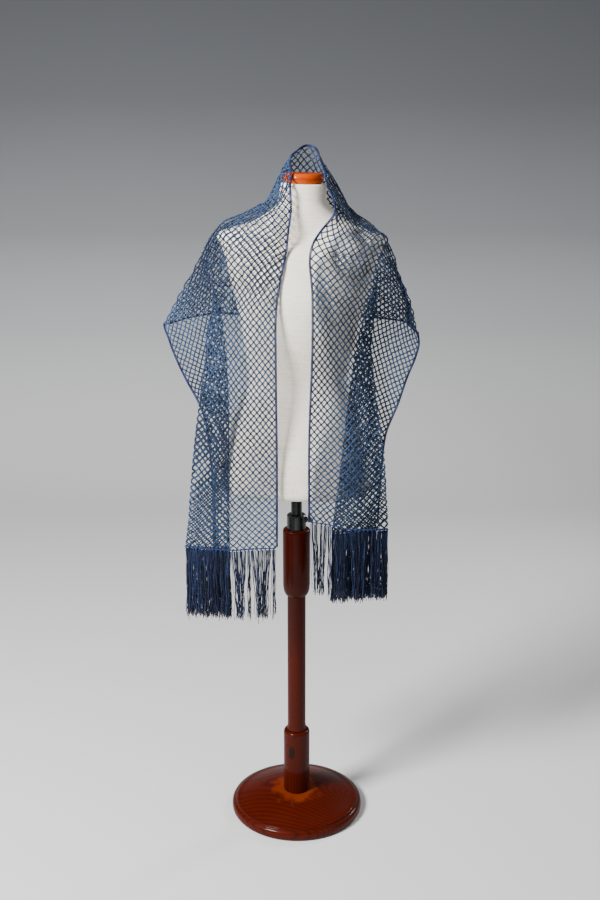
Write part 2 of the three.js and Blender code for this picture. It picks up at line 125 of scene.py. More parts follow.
def tubes(paths, radius, sides):
    paths = np.asarray(paths, float)
    tangent = unit(np.gradient(paths, axis=1))
    least = np.argmin(np.abs(tangent[:, 0]), axis=1)
    sideways = np.cross(tangent[:, 0], np.eye(3)[least])
    sideways_all = np.empty_like(paths)
    for step in range(paths.shape[1]):
        along = tangent[:, step]
        sideways = unit(sideways - np.sum(sideways * along, axis=1, keepdims=True) * along)
        sideways_all[:, step] = sideways
    upwards = np.cross(tangent, sideways_all)
    angle = (2 * np.pi * np.arange(sides) / sides)[:, None]
    ring = sideways_all[:, :, None] * np.cos(angle) + upwards[:, :, None] * np.sin(angle)
    return skinned(paths[:, :, None] + ring * radius)


def joined(parts):
    points, faces, first = [], [], 0
    for part_points, part_faces in parts:
        points.append(part_points)
        faces.extend([[corner + first for corner in face] for face in part_faces])
        first += len(part_points)
    return np.concatenate(points), faces


# %% [markdown]
# ## Finishes
#
# Colours are written as they look on a screen and turned into the linear values that shaders use. One
# function adds a node with its settings and links.

# %% Nodes and colours
def linear(hex_colour):
    channels = [int(hex_colour[i : i + 2], 16) / 255 for i in (1, 3, 5)]
    return (*[c / 12.92 if c <= 0.04045 else ((c + 0.055) / 1.055) ** 2.4 for c in channels], 1.0)


def add(tree, kind, inputs=None, **settings):
    node = tree.nodes.new("ShaderNode" + kind)
    for key, value in settings.items():
        setattr(node, key, value)
    for name, value in (inputs or {}).items():
        if isinstance(value, bpy.types.NodeSocket):
            tree.links.new(value, node.inputs[name])
        else:
            node.inputs[name].default_value = value
    return node


def blank_material(name):
    material = bpy.data.materials.new(name)
    material.use_nodes = True
    material.node_tree.nodes.clear()
    return material, material.node_tree


def ramp(tree, factor, stops):
    node = add(tree, "ValToRGB", {"Fac": factor})
    elements = node.color_ramp.elements
    while len(elements) < len(stops):
        elements.new(0.5)
    for element, (place, colour) in zip(elements, stops):
        element.position = place
        element.color = linear(colour)
    return node.outputs["Color"]


def finished(tree, colour, roughness, bump=None, **values):
    inputs = {"Base Color": colour, "Roughness": roughness}
    if bump is not None:
        inputs["Normal"] = bump
    inputs.update({name.replace("_", " "): value for name, value in values.items()})
    shader = add(tree, "BsdfPrincipled", inputs)
    add(tree, "OutputMaterial", {"Surface": shader.outputs["BSDF"]})


def bump_from(tree, height, strength, distance):
    return add(tree, "Bump", {"Height": height, "Strength": strength, "Distance": distance}).outputs["Normal"]


# %% [markdown]
# The finishes are sums of a few things: noise at some scale, arithmetic on it, and a second colour
# mixed in.

# %% Sums of nodes
def math_on(tree, operation, *values):
    return add(tree, "Math", dict(enumerate(values)), operation=operation).outputs["Value"]


def vector_math(tree, operation, *values):
    node = add(tree, "VectorMath", dict(enumerate(values)), operation=operation)
    return node.outputs["Value" if operation == "LENGTH" else "Vector"]


def remapped(tree, value, low, high, to_low=0.0, to_high=1.0, interpolation="LINEAR"):
    inputs = {"Value": value, "From Min": low, "From Max": high, "To Min": to_low, "To Max": to_high}
    return add(tree, "MapRange", inputs, interpolation_type=interpolation).outputs["Result"]


def stretched(tree, place, scale):
    return add(tree, "Mapping", {"Vector": place, "Scale": scale}).outputs["Vector"]


def noise_at(tree, place, scale, detail):
    return add(tree, "TexNoise", {"Vector": place, "Scale": scale, "Detail": detail}).outputs["Fac"]


def mixed_in(tree, colour, second, share):
    mix = add(tree, "Mix", {"Factor": share}, data_type="RGBA")
    tree.links.new(colour, mix.inputs["A"])
    mix.inputs["B"].default_value = linear(second)
    return mix.outputs["Result"]


# %% [markdown]
# Cotton yarn is matt, with a faint halo of fibre ends, so it gets a little sheen. The yarn was dyed
# unevenly: each strand has a tone of its own, kept as an attribute, and a fine noise a few millimetres
# long breaks it up further.

# %% Cotton yarn
TONE_BREAK = 0.18


def yarn_material(name, dark, middle, light):
    material, tree = blank_material(name)
    tone = add(tree, "Attribute", attribute_name="tone").outputs["Fac"]
    place = add(tree, "TexCoord").outputs["Object"]
    broken = remapped(tree, noise_at(tree, place, 260.0, 3.0), 0.3, 0.7, -TONE_BREAK, TONE_BREAK)
    colour = ramp(tree, math_on(tree, "ADD", tone, broken), [(0.0, dark), (0.5, middle), (1.0, light)])
    bump = bump_from(tree, noise_at(tree, place, 1900.0, 2.0), 0.5, 0.0004)
    finished(tree, colour, 0.88, bump, Sheen_Weight=0.06, Sheen_Roughness=0.5, Specular_IOR_Level=0.12)
    return material


net_yarn = yarn_material("blue_cotton_net_yarn", "#070c16", "#17253c", "#43597b")
edging_yarn = yarn_material("blue_crochet_cotton", "#0b0e22", "#1c2345", "#4a5589")
fringe_yarn = yarn_material("navy_cotton_fringe", "#030613", "#091026", "#28385e")

# %% [markdown]
# The turned parts are pine. Pine cut from near the pith shows nested arches of late wood where the
# growth rings leave the cylinder, and oval knots where branches were. The rings are distances from a
# pith line that leans and wanders beside the piece. The stain is darkest in the late wood, and a gloss
# varnish lies over all of it.

# %% Stained pine
KNOT_BROWN = "#1c0a06"
# metres that the rings waver, and bend round a knot
RING_WAVER, KNOT_BEND = 0.022, 0.012
FIBRE_SHARE, SHADE_SHARE = 0.35, 0.78


def pine_material(name, colours, knots=(), ring=3.4, pith=(0.034, 0.012), lean=(0.05, -0.03),
                  turn=(0, 0, 0), painted_foot_reflection=None):
    material, tree = blank_material(name)
    straight = add(tree, "TexCoord").outputs["Object"]
    place = add(tree, "Mapping", {"Vector": straight, "Rotation": turn}).outputs["Vector"]
    split = add(tree, "SeparateXYZ", {"Vector": place}).outputs
    from_pith = {}
    for axis, offset, tilt in zip("XY", pith, lean):
        pith_here = math_on(tree, "MULTIPLY_ADD", split["Z"], tilt, offset)
        from_pith[axis] = math_on(tree, "SUBTRACT", split[axis], pith_here)
    radius = vector_math(tree, "LENGTH", add(tree, "CombineXYZ", from_pith).outputs["Vector"])
    waver = noise_at(tree, stretched(tree, place, (5.0, 5.0, 1.6)), 1.6, 2.0)
    bent = math_on(tree, "MULTIPLY_ADD", waver, RING_WAVER, radius)
    darkness = 0.0
    for centre, size in knots:
        to_knot = vector_math(tree, "SUBTRACT", place, centre)
        far = vector_math(tree, "LENGTH", vector_math(tree, "MULTIPLY", to_knot, tuple(1 / s for s in size)))
        near = remapped(tree, far, 0.4, 3.2, 1.0, 0.0, "SMOOTHSTEP")
        bent = math_on(tree, "MULTIPLY_ADD", near, KNOT_BEND, bent)
        core = remapped(tree, far, 0.7, 1.15, 1.0, 0.0, "SMOOTHSTEP")
        darkness = math_on(tree, "MAXIMUM", darkness, core)
    phase = math_on(tree, "FRACT", math_on(tree, "MULTIPLY", bent, 1000 / ring))
    fibre = noise_at(tree, stretched(tree, place, (900.0, 900.0, 28.0)), 1.0, 3.0)
    fibrous = math_on(tree, "MULTIPLY_ADD", fibre, FIBRE_SHARE, phase)
    shade = math_on(tree, "MULTIPLY", fibrous, SHADE_SHARE)
    early, late, deep = colours
    colour = ramp(tree, shade, [(0.05, late), (0.3, early), (0.66, early), (0.9, late), (1.0, deep)])
    # a ragged pale patch round the axis, seen as a ring round the bottom of the socket, is a painted
    # reflection of the varnish
    if painted_foot_reflection is not None:
        reach = vector_math(tree, "LENGTH", vector_math(tree, "MULTIPLY", straight, (1, 1, 0)))
        edge = math_on(tree, "MULTIPLY_ADD", noise_at(tree, straight, 28.0, 3.0), -0.075, reach)
        colour = mixed_in(tree, colour, painted_foot_reflection, remapped(tree, edge, 0.008, 0.026, 0.6, 0.0))
    if knots:
        colour = mixed_in(tree, colour, KNOT_BROWN, darkness)
    bump = bump_from(tree, shade, 0.08, 0.0003)
    finished(tree, colour, 0.45, bump, Specular_IOR_Level=0.04, Coat_Weight=0.22, Coat_Roughness=0.1,
             Coat_IOR=1.4)
    return material


# %% [markdown]
# The socket has two knots. The base is a flat board with its pith just under it, so its rings come out
# as wide arches, and a ragged pale ring round the bottom of the socket is a painted reflection of the
# varnish. The cap is the same wood in a clear orange varnish.

# %% Three cuts of pine
QUARTER_TURN = (0, math.pi / 2, 0)
stained_pine = pine_material(
    "mahogany_stained_pine", ("#3e0b01", "#2b0801", "#190401"),
    knots=[((-0.012, -0.029, 0.158), (0.008, 0.02, 0.018)), ((-0.005, -0.03, 0.2), (0.003, 0.01, 0.004))],
)
# the board's pale ring round the bottom of the socket is a painted reflection
stained_board = pine_material(
    "mahogany_stained_pine_board_with_painted_reflection", ("#440d01", "#300901", "#190401"), ring=8.0,
    pith=(-0.03, 0.012), lean=(-0.3, 0.12), turn=QUARTER_TURN, painted_foot_reflection="#782c06",
)
orange_pine = pine_material(
    "orange_varnished_pine", ("#b44400", "#963000", "#7a2000"), ring=30.0, pith=(0.2, 0.1), turn=QUARTER_TURN,
)

# %% [markdown]
# The form's cover is natural linen, a plain weave of slubby threads pulled tight. Threads run round and
# up the form, so the weave follows the piece's own coordinates, which are in metres. Thick and thin
# threads make the soft crosswise streaks that tell linen from cotton. The metal is black enamel with a
# faint grain.

# %% Linen and metal
def linen_material():
    material, tree = blank_material("stretched_natural_linen")
    uv = add(tree, "TexCoord").outputs["UV"]
    weaves = [(60.0, 1500.0, 1.0), (1500.0, 60.0, 1.0)]
    round_it, up_it = (noise_at(tree, stretched(tree, uv, weave), 1.0, 2.0) for weave in weaves)
    threads = math_on(tree, "ADD", round_it, up_it)
    slubs = noise_at(tree, stretched(tree, uv, (20.0, 330.0, 1.0)), 1.0, 3.0)
    streaked = math_on(tree, "MULTIPLY_ADD", slubs, 0.9, threads)
    mixed = math_on(tree, "MULTIPLY_ADD", noise_at(tree, uv, 9.0, 3.0), 0.7, streaked)
    shade = remapped(tree, mixed, 1.45, 2.15)
    colour = ramp(tree, shade, [(0.0, "#dad0bc"), (0.5, "#eee6d7"), (1.0, "#f8f3e8")])
    bump = bump_from(tree, threads, 0.35, 0.0005)
    finished(tree, colour, 0.92, bump, Sheen_Weight=0.15, Specular_IOR_Level=0.2)
    return material


linen = linen_material()
black_metal, tree = blank_material("black_enamelled_steel")
grain = noise_at(tree, add(tree, "TexCoord").outputs["Object"], 320.0, 4.0)
tint = ramp(tree, grain, [(0.35, "#0d0e10"), (0.75, "#1c1d20")])
rough = remapped(tree, grain, 0.0, 1.0, 0.14, 0.36)
finished(tree, tint, rough, bump_from(tree, grain, 0.08, 0.0003))

# %% [markdown]
# ## The stand
#
# Each wooden part is turned on a lathe, so its profile is spun round the axis. The profiles repeat the
# solids' sizes, with the roundings that a gouge leaves and sanding softens. The clamp's collar and
# screw keep their solids, in black enamel.

# %% Turned parts
ROUND = 96


def rounded(profile, steps=5):
    """A profile of (radius, height, corner radius) rows with its corners rounded."""
    points = []
    for i, (radius, height, corner) in enumerate(profile):
        here = np.array([radius, height], float)
        if not corner or i in (0, len(profile) - 1):
            points.append(here)
            continue
        before, after = (unit(np.array(profile[k][:2], float) - here) for k in (i - 1, i + 1))
        for share in np.linspace(0, 1, steps):
            start, end = here + before * corner, here + after * corner
            points.append((1 - share) ** 2 * start + 2 * share * (1 - share) * here + share**2 * end)
    return points


def lathe(name, profile, material, body, slot, stands_for, place=None):
    shape = bmesh.new()
    line = [shape.verts.new((radius * MM, 0, height * MM)) for radius, height in rounded(profile)]
    for a, b in zip(line, line[1:]):
        shape.edges.new((a, b))
    bmesh.ops.spin(shape, geom=shape.verts[:] + shape.edges[:], cent=(0, 0, 0), axis=(0, 0, 1),
                   angle=2 * math.pi, steps=ROUND, use_merge=True)
    bmesh.ops.remove_doubles(shape, verts=shape.verts, dist=1e-6)
    bmesh.ops.dissolve_degenerate(shape, edges=shape.edges, dist=1e-7)
    bmesh.ops.recalc_face_normals(shape, faces=shape.faces)
    if place is not None:
        bmesh.ops.transform(shape, matrix=place, verts=shape.verts)
    mesh = bpy.data.meshes.new(name)
    shape.to_mesh(mesh)
    shape.free()
    return placed(name, mesh, material, body, slot, stands_for)


BORE = 12.9
for name, node, finish, profile in (
    ("turned_base", "base", stained_board, [
        (0, 0, 0), (157, 0, 10), (157, 24, 11), (139, 26.5, 8), (112, 35.5, 11), (85, 42.5, 11),
        (58, 46.8, 10), (35, 48, 0), (0, 48, 0),
    ]),
    ("turned_socket", "socket", stained_pine, [
        (0, 48.3, 0), (31, 48.3, 1), (31, 130, 0), (31, 209, 8), (0, 209, 0),
    ]),
    ("turned_pole", "pole", stained_pine, [
        (0, 209.3, 0), (22.8, 209.3, 1), (22.8, 214, 2), (21.3, 223, 3), (21.3, 556, 0.8),
        (BORE, 556, 0.6), (BORE, 490, 0), (0, 490, 0),
    ]),
    ("turned_sleeve", "sleeve", stained_pine, [
        (BORE, 556.3, 0.6), (24.3, 556.3, 1.5), (29.3, 565, 5), (31.3, 580, 6), (31.3, 719, 6),
        (BORE, 719, 0.8), (BORE, 556.3, 0),
    ]),
):
    lathe(name, profile, finish, "stand", "stained_pine", [node])
lathe("steel_rod", [
    (0, 566, 0), (12.5, 566, 1), (12.5, 815.2, 0.3), (0, 815.2, 0),
], black_metal, "dressed_form", "black_metal", ["rod"])

for node in ("clamp_collar", "clamp_screw"):
    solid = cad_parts[node]
    solid.data.materials.clear()
    solid.data.materials.append(black_metal)

# %% [markdown]
# ## The form
#
# A dress form has no limbs, only the torso from the hips to the neck. Its sections are flattened ovals
# whose widths and depths are listed by height. A smooth curve runs through the list, and the whole form
# leans a little to one side on its rod.

# %% Sections of the form
FORM_BOTTOM, FORM_TOP, CAP_TOP = 816, 1490, 1512
FORM_LEAN = math.radians(1.5)
FORM_SHIFT = -3
ROUNDNESS = 2.3
# a row for each level: height, half the width, depth to the front, depth to the back
FORM_SECTIONS = np.array([
    [816, 160, 98, 104], [824, 168, 104, 111], [850, 171, 106, 113], [900, 163, 104, 112],
    [940, 152, 99, 107], [980, 141, 92, 100], [1015, 126, 86, 92], [1068, 110, 80, 84],
    [1110, 114, 86, 86], [1150, 121, 96, 90], [1200, 129, 105, 96], [1245, 140, 108, 102],
    [1290, 152, 102, 106], [1330, 161, 90, 106], [1360, 173, 72, 98], [1378, 181, 58, 86],
    [1386, 172, 53, 79], [1393, 152, 51, 75], [1399, 130, 50, 73], [1406, 112, 50, 71],
    [1418, 91, 50, 67], [1435, 67, 50, 60], [1452, 53, 48, 54], [1470, 50, 47, 50], [1490, 49, 47, 49],
], float)


def through(rows, place):
    """The point at a place, counted in rows, on a centripetal Catmull-Rom curve through the rows."""
    last = len(rows) - 1
    i = min(int(place), last - 1)
    share = place - i
    p1, p2 = rows[i], rows[i + 1]
    p0 = rows[i - 1] if i else 2 * p1 - p2
    p3 = rows[i + 2] if i + 2 <= last else 2 * p2 - p1
    step0, step1, step2 = (
        np.maximum(np.sum((b - a) ** 2, axis=-1, keepdims=True), 1e-8) ** 0.25
        for a, b in ((p0, p1), (p1, p2), (p2, p3))
    )
    leave = ((p1 - p0) / step0 - (p2 - p0) / (step0 + step1) + (p2 - p1) / step1) * step1
    arrive = ((p2 - p1) / step1 - (p3 - p1) / (step1 + step2) + (p3 - p2) / step2) * step1
    square, cube = -3 * p1 + 3 * p2 - 2 * leave - arrive, 2 * p1 - 2 * p2 + leave + arrive
    return p1 + leave * share + square * share**2 + cube * share**3


places = np.linspace(0, len(FORM_SECTIONS) - 1, 121)
smooth_sections = np.array([through(FORM_SECTIONS, place) for place in places])
LEAN = np.array(Matrix.Rotation(FORM_LEAN, 3, "Y"))


def leaned(points):
    return (points - [0, 0, FORM_BOTTOM]) @ LEAN.T + [FORM_SHIFT, 0, FORM_BOTTOM]


def upright(points):
    return (points - [FORM_SHIFT, 0, FORM_BOTTOM]) @ LEAN + [0, 0, FORM_BOTTOM]


# %% [markdown]
# The linen is one smooth skin, closed flat underneath, where the rod goes in, and its edge is turned
# under. The piece's own coordinates are metres round the form and up it, so the weave has one scale all
# over.

# %% The form
FACETS = 144
WEAVE_ROUND = 0.86
# shares of the lowest section's size, and heights
UNDERSIDE = [(0.02, 816.0), (0.45, 816.0), (0.93, 816.6)]
angles = 2 * np.pi * np.arange(FACETS) / FACETS
cos, sin = np.cos(angles), np.sin(angles)
rings = [[*(share * FORM_SECTIONS[0, 1:]), height] for share, height in UNDERSIDE]
rings += [[*row[1:], row[0]] for row in smooth_sections]
half_width, front, back, height = np.array(rings).T[:, :, None]
x = half_width * np.sign(cos) * np.abs(cos) ** (2 / ROUNDNESS)
y = np.where(sin < 0, front, back) * np.sign(sin) * np.abs(sin) ** (2 / ROUNDNESS)
form_points, faces = skinned(np.stack([x, y, np.broadcast_to(height, x.shape)], axis=-1)[None])
form = make_piece("linen_form", leaned(form_points), faces, linen, "dressed_form", "form_linen", ["form"])
uv = form.data.uv_layers.new(name="weave")
for polygon in form.data.polygons:
    turns = [vertex % FACETS for vertex in polygon.vertices]
    over_seam = FACETS - 1 in turns
    for loop, vertex, turn in zip(polygon.loop_indices, polygon.vertices, turns):
        if turn == 0 and over_seam:
            turn = FACETS
        uv.data[loop].uv = (turn / FACETS * WEAVE_ROUND, form_points[vertex, 2] * MM)

# %% [markdown]
# The cap is a flat disc with a half-round edge. It leans with the form.

# %% The cap
CAP_FLAT, CAP_BULGE, CAP_MIDDLE, CAP_HALF_HEIGHT = 35.5, 8, 1500.8, 10.5
cap_place = Matrix.Translation((FORM_SHIFT * MM, 0, FORM_BOTTOM * MM)) @ Matrix.Rotation(FORM_LEAN, 4, "Y")
cap_place @= Matrix.Translation((0, 0, -FORM_BOTTOM * MM))
half_round = [
    (CAP_FLAT + CAP_BULGE * math.cos(turn), CAP_MIDDLE + CAP_HALF_HEIGHT * math.sin(turn), 0)
    for turn in np.linspace(-math.pi / 2, math.pi / 2, 15)
]
lathe("turned_neck_cap", [
    (0, CAP_MIDDLE - CAP_HALF_HEIGHT, 0), *half_round, (0, CAP_MIDDLE + CAP_HALF_HEIGHT, 0),
], orange_pine, "dressed_form", "orange_pine", ["neck_cap"], cap_place)

# %% [markdown]
# ## How the shawl hangs
#
# The shawl is one long rectangle. It lies over both shoulders and stands up a little round the neck.
# Each front hangs from a ridge that runs out over the shoulder, and its outer part is folded back on
# itself twice, which makes the stack of layers below each shoulder. Seven lines along the cloth
# describe this, the same as in the solids: neck edge, collar fold, middle, outer fold, valley, side and
# outer edge.

# %% Lines along the cloth
LEFT_RIDGE_HEIGHTS = [1532, 1479, 1445, 1388, 1302, 1243, 1188]
LEFT_END_HEIGHTS = [716, 712, 706, 706, 698, 692, 688]
# a row for each section: its share of the drop from the ridge to the end, then x and y on each line
LEFT_FRONT = [
    [0.0, [-16, -24], [-39, 0], [-85, 5], [-177, 0], [-222, 4], [-255, 7], [-285, 10]],
    [0.06, [-12, -52], [-46, -44], [-101, -40], [-178, -34], [-200, -24], [-241, -12], [-274, -12]],
    [0.13, [-14, -66], [-50, -66], [-110, -68], [-176, -52], [-168, -46], [-220, -32], [-261, -26]],
    [0.22, [-24, -86], [-59, -94], [-115, -82], [-178, -62], [-153, -56], [-200, -44], [-238, -38]],
    [0.35, [-43, -112], [-76, -110], [-121, -100], [-192, -72], [-148, -60], [-181, -44], [-204, -50]],
    [0.5, [-45, -118], [-87, -113], [-128, -103], [-208, -76], [-146, -62], [-176, -36], [-192, -30]],
    [0.75, [-44, -116], [-91, -111], [-137, -101], [-231, -74], [-149, -66], [-180, -26], [-190, 8]],
    [1.0, [-45, -112], [-100, -107], [-148, -98], [-247, -72], [-150, -66], [-182, -28], [-192, 20]],
]
RIGHT_RIDGE_HEIGHTS = [1531, 1477, 1439, 1379, 1296, 1232, 1175]
RIGHT_END_HEIGHTS = [777, 769, 758, 747, 748, 747, 746]
RIGHT_FRONT = [
    [0.0, [51, 5], [86, 8], [114, 9], [189, 0], [227, 0], [254, 2], [266, 0]],
    [0.06, [67, -30], [93, -38], [118, -44], [182, -30], [192, -28], [232, -14], [265, -12]],
    [0.13, [79, -54], [84, -66], [115, -70], [173, -46], [150, -54], [206, -32], [256, -22]],
    [0.22, [33, -96], [70, -94], [108, -88], [166, -56], [132, -66], [184, -46], [239, -34]],
    [0.35, [36, -112], [66, -110], [101, -102], [163, -66], [120, -74], [164, -56], [218, -54]],
    [0.5, [36, -118], [68, -113], [102, -108], [172, -76], [110, -82], [152, -66], [193, -62]],
    [0.75, [30, -116], [70, -113], [111, -110], [194, -78], [95, -96], [145, -76], [185, -50]],
    [1.0, [30, -112], [76, -110], [119, -108], [203, -74], [78, -99], [140, -78], [180, -44]],
]
# a row for each section of the back, between the ridges: x, y and z on each line
BACK = [
    [
        [-6, 36, 1548], [-30, 42, 1500], [-58, 50, 1447], [-128, 74, 1370],
        [-172, 88, 1282], [-195, 94, 1238], [-218, 102, 1193],
    ],
    [
        [24, 66, 1563], [18, 60, 1517], [16, 66, 1462], [12, 106, 1372],
        [10, 117, 1288], [9, 120, 1240], [8, 122, 1192],
    ],
    [
        [44, 50, 1555], [66, 40, 1500], [88, 50, 1447], [148, 74, 1366],
        [190, 86, 1276], [206, 92, 1228], [222, 98, 1184],
    ],
]


def front_sections(table, ridge_heights, end_heights):
    sections = []
    for drop, *lines in table:
        heights = np.array(ridge_heights) + (np.array(end_heights) - ridge_heights) * drop
        sections.append(np.column_stack([np.array(lines, float), heights]))
    return np.array(sections)


left_front = front_sections(LEFT_FRONT, LEFT_RIDGE_HEIGHTS, LEFT_END_HEIGHTS)
right_front = front_sections(RIGHT_FRONT, RIGHT_RIDGE_HEIGHTS, RIGHT_END_HEIGHTS)
back = np.array([left_front[0], *np.array(BACK, float), right_front[0]])

# %% [markdown]
# A close grid is laid through the lines. Where a smooth curve would dip into the body, cloth rests on
# it instead, so points that are too near the form are moved straight out.

# %% A close grid on the cloth
FRONT_STEPS, BACK_STEPS, ACROSS_STEPS = 14, 20, 16


def refined(sections, steps):
    count = (len(sections) - 1) * steps
    return [through(sections, place / steps) for place in range(count + 1)]


left_rows = refined(left_front, FRONT_STEPS)[::-1]
back_rows = refined(back, BACK_STEPS)
right_rows = refined(right_front, FRONT_STEPS)
cloth = np.array([refined(row, ACROSS_STEPS) for row in [*left_rows, *back_rows[1:-1], *right_rows]])
LEFT_RIDGE = len(left_rows) - 1
RIGHT_RIDGE = len(cloth) - len(right_rows)

clear_levels = np.append(smooth_sections[:, 0], [FORM_TOP + 0.5, CAP_TOP])
clear_sizes = np.vstack([smooth_sections[:, 1:], [[CAP_FLAT + CAP_BULGE] * 3] * 2])


def form_level(points):
    height = np.clip(points[..., 2], FORM_BOTTOM, CAP_TOP)
    half_width, front, depth = (np.interp(height, clear_levels, clear_sizes[:, i]) for i in range(3))
    sideways = np.abs(points[..., 0] / half_width) ** ROUNDNESS
    deep = np.abs(points[..., 1] / np.where(points[..., 1] < 0, front, depth)) ** ROUNDNESS
    return (sideways + deep) ** (1 / ROUNDNESS) - 1


def clear_of_form(points, clearance):
    straight = upright(points)
    level, step = form_level(straight), 0.5
    slope = np.stack([
        form_level(straight + step * axis) - form_level(straight - step * axis) for axis in np.eye(3)
    ], axis=-1) / (2 * step)
    steep = np.linalg.norm(slope, axis=-1)
    move = np.where(straight[..., 2] < CAP_TOP + 3, np.maximum(0, clearance - level / steep), 0)
    return points + (slope / steep[..., None]) @ LEAN.T * move[..., None]


# %% [markdown]
# Cloth that is put on by hand keeps soft creases: from the neck out to each shoulder, down the hanging
# fronts, and from the collar down the back. Each is a line on the flat cloth, in millimetres along it
# and across it, with a width and a height. The cloth rises or sinks there, and less and less beside the
# line.

# %% Soft creases
LENGTH, WIDTH = 1750, 415
CREASES = [
    [655, 5, 585, 235, 13, 5], [615, 10, 520, 250, 15, -4], [570, 15, 440, 255, 17, 5],
    [480, 60, 300, 95, 14, -4], [430, 105, 50, 95, 17, 5], [400, 190, 60, 205, 19, -4],
    [380, 340, 70, 365, 15, 3], [630, 300, 560, 410, 16, 5], [590, 285, 480, 400, 18, -4],
    [735, 10, 700, 230, 13, 6], [790, 5, 790, 190, 13, -4], [850, 25, 815, 215, 12, 6],
    [905, 20, 945, 220, 13, 7], [990, 10, 1010, 210, 13, 6], [760, 205, 735, 425, 19, 9],
    [805, 200, 815, 425, 17, -4], [850, 190, 865, 425, 20, 9], [915, 210, 905, 425, 17, -4],
    [965, 200, 985, 425, 21, 8], [1100, 5, 1180, 235, 13, 5], [1135, 5, 1240, 250, 14, -4],
    [1175, 10, 1310, 255, 16, 5], [1260, 40, 1420, 100, 15, -4], [1330, 110, 1700, 100, 17, 5],
    [1350, 190, 1690, 200, 19, -4], [1380, 345, 1690, 360, 15, 3], [1120, 300, 1190, 410, 16, 5],
    [1170, 285, 1270, 400, 18, -4],
]


def travelled(points, axis):
    steps = np.linalg.norm(np.diff(points, axis=axis), axis=-1)
    start = np.zeros_like(np.take(steps, [0], axis=axis))
    return np.cumsum(np.concatenate([start, steps], axis=axis), axis=axis)


def face_normals(points):
    return unit(np.cross(np.gradient(points, axis=1), np.gradient(points, axis=0)))


def first_measure(points):
    """A first guess of each point's place on the flat cloth."""
    lengths, widths = travelled(points, 0), travelled(points, 1)
    return np.stack([lengths / lengths[-1:] * LENGTH, widths / widths[:, -1:] * WIDTH], axis=-1)


first = first_measure(cloth)
rise = np.zeros(cloth.shape[:2])
for u0, v0, u1, v1, width, height in CREASES:
    start, run = np.array([u0, v0]), np.array([u1 - u0, v1 - v0])
    share = np.clip((first - start) @ run / (run @ run), 0, 1)
    beside = np.linalg.norm(first - start - share[..., None] * run, axis=-1)
    rise += height * np.exp(-0.5 * (beside / width) ** 2)
away = face_normals(cloth)
away *= np.sign(away[(LEFT_RIDGE + RIGHT_RIDGE) // 2, cloth.shape[1] // 2, 1])
cloth = cloth + away * rise[..., None]
print("creases rise", rise.max().round(1), "and sink", -rise.min().round(1), "mm")

CLEARANCE = 2.7
for _ in range(3):
    cloth = clear_of_form(cloth, CLEARANCE)
print("grid of", cloth.shape[:2], "points")

# %% [markdown]
# The net is knotted flat, so every place on it has a distance along the cloth and one across it. To
# find them, the grid is cut into triangles that are laid flat one by one. A side of a triangle holds
# more firmly the narrower the angle opposite it is, and each triangle is turned to fit where its
# corners lie now.

# %% Triangles and their turns
def grid_triangles(rows, columns):
    index = np.arange(rows * columns).reshape(rows, columns)
    a, b, c, d = index[:-1, :-1], index[1:, :-1], index[1:, 1:], index[:-1, 1:]
    return np.concatenate([np.stack(corners, -1).reshape(-1, 3) for corners in ((a, b, c), (a, c, d))])


def laid_alone(corner):
    """The sides of each triangle in its own plane, and how firmly each one holds."""
    side, other = corner[:, 1] - corner[:, 0], corner[:, 2] - corner[:, 0]
    reach = np.linalg.norm(side, axis=1)
    own = np.zeros((len(corner), 3, 2))
    own[:, 1, 0] = reach
    own[:, 2, 0] = np.sum(side * other, axis=1) / reach
    own[:, 2, 1] = np.linalg.norm(np.cross(side, other), axis=1) / reach
    before, after = np.roll(own, 1, axis=1), np.roll(own, -1, axis=1)
    p, q = own - before, after - before
    area = np.abs(p[..., 0] * q[..., 1] - p[..., 1] * q[..., 0])
    return own - after, np.clip(np.sum(p * q, -1) / area, 0.05, 20)


def turns_to_fit(sides, now, hold):
    spread = np.einsum("te,tei,tej->tij", hold, now, sides)
    cosine, sine = spread[:, 0, 0] + spread[:, 1, 1], spread[:, 1, 0] - spread[:, 0, 1]
    size = np.maximum(np.hypot(cosine, sine), 1e-9)
    cosine, sine = cosine / size, sine / size
    return np.stack([cosine, -sine, sine, cosine], -1).reshape(-1, 2, 2)


# %% [markdown]
# Then the corners settle between the triangles that share them, in rounds. The long edges and the ends
# stay straight, as they were knotted. Only every fourth line takes part, and a smooth curve gives the
# rest.

# %% Flat measure of the cloth
COARSE, FLAT_ROUNDS = 4, 120


def laid_flat(points, first):
    rows, columns = points.shape[:2]
    start = grid_triangles(rows, columns)
    end = np.roll(start, -1, axis=1)
    sides, hold = laid_alone(points.reshape(-1, 3)[start])
    flat = first.reshape(-1, 2).copy()
    matrix = np.zeros((len(flat), len(flat)))
    for one, two, sign in ((start, start, 1), (end, end, 1), (start, end, -1), (end, start, -1)):
        np.add.at(matrix, (one, two), sign * hold)
    at_ends, at_edges = np.zeros((rows, columns), bool), np.zeros((rows, columns), bool)
    at_ends[[0, -1]] = True
    at_edges[:, [0, -1]] = True
    solvers = []
    for axis, fixed in enumerate((at_ends.ravel(), at_edges.ravel())):
        inverse = np.linalg.inv(matrix[np.ix_(~fixed, ~fixed)])
        solvers.append((axis, ~fixed, fixed, inverse, matrix[np.ix_(~fixed, fixed)]))
    for _ in range(FLAT_ROUNDS):
        turns = turns_to_fit(sides, flat[start] - flat[end], hold)
        wanted = np.einsum("tij,tej->tei", turns, sides) * hold[..., None]
        pull = np.zeros_like(flat)
        np.add.at(pull, start, wanted)
        np.subtract.at(pull, end, wanted)
        for axis, free, fixed, inverse, link in solvers:
            flat[free, axis] = inverse @ (pull[free, axis] - link @ flat[fixed, axis])
    return flat.reshape(rows, columns, 2)


